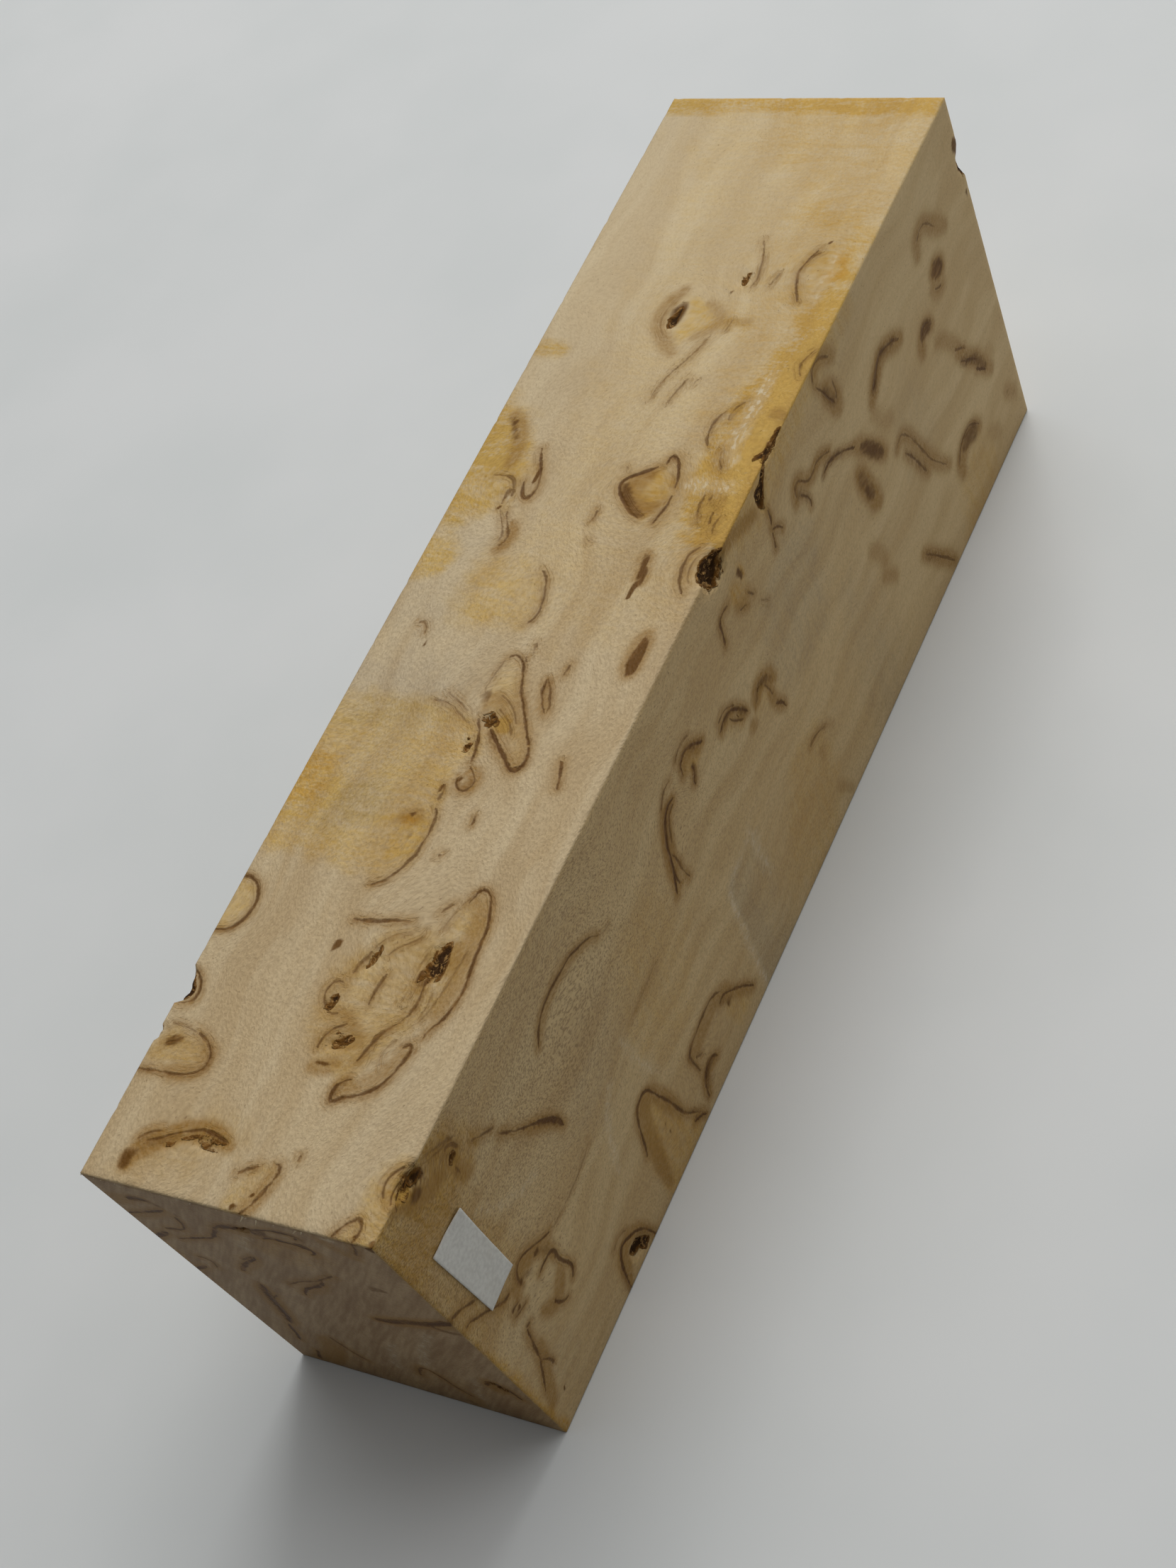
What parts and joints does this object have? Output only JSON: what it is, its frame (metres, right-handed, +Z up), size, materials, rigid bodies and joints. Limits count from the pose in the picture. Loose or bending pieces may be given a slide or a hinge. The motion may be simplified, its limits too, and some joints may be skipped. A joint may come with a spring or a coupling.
{
  "type": "masur birch block",
  "caption": "Sawn rectangular block of figured masur birch with dark bark pits, loops and broken edges, lying flat, with a bare paper label near one end.",
  "frame": {"origin": "middle of the block's footprint, on the surface that it lies on", "axes": "+Y along the block from its near end to its far end, +X out of the labelled side, +Z up through the lighter face"},
  "size_m": [0.032, 0.1318, 0.0447],
  "materials": {
    "birch": "raw sawn face, matt with a faint silky sheen",
    "label": "smooth white paper, matt"
  },
  "bodies": {
    "root": {"birch_block": "birch", "paper_label": "label"}
  },
  "joints": []
}
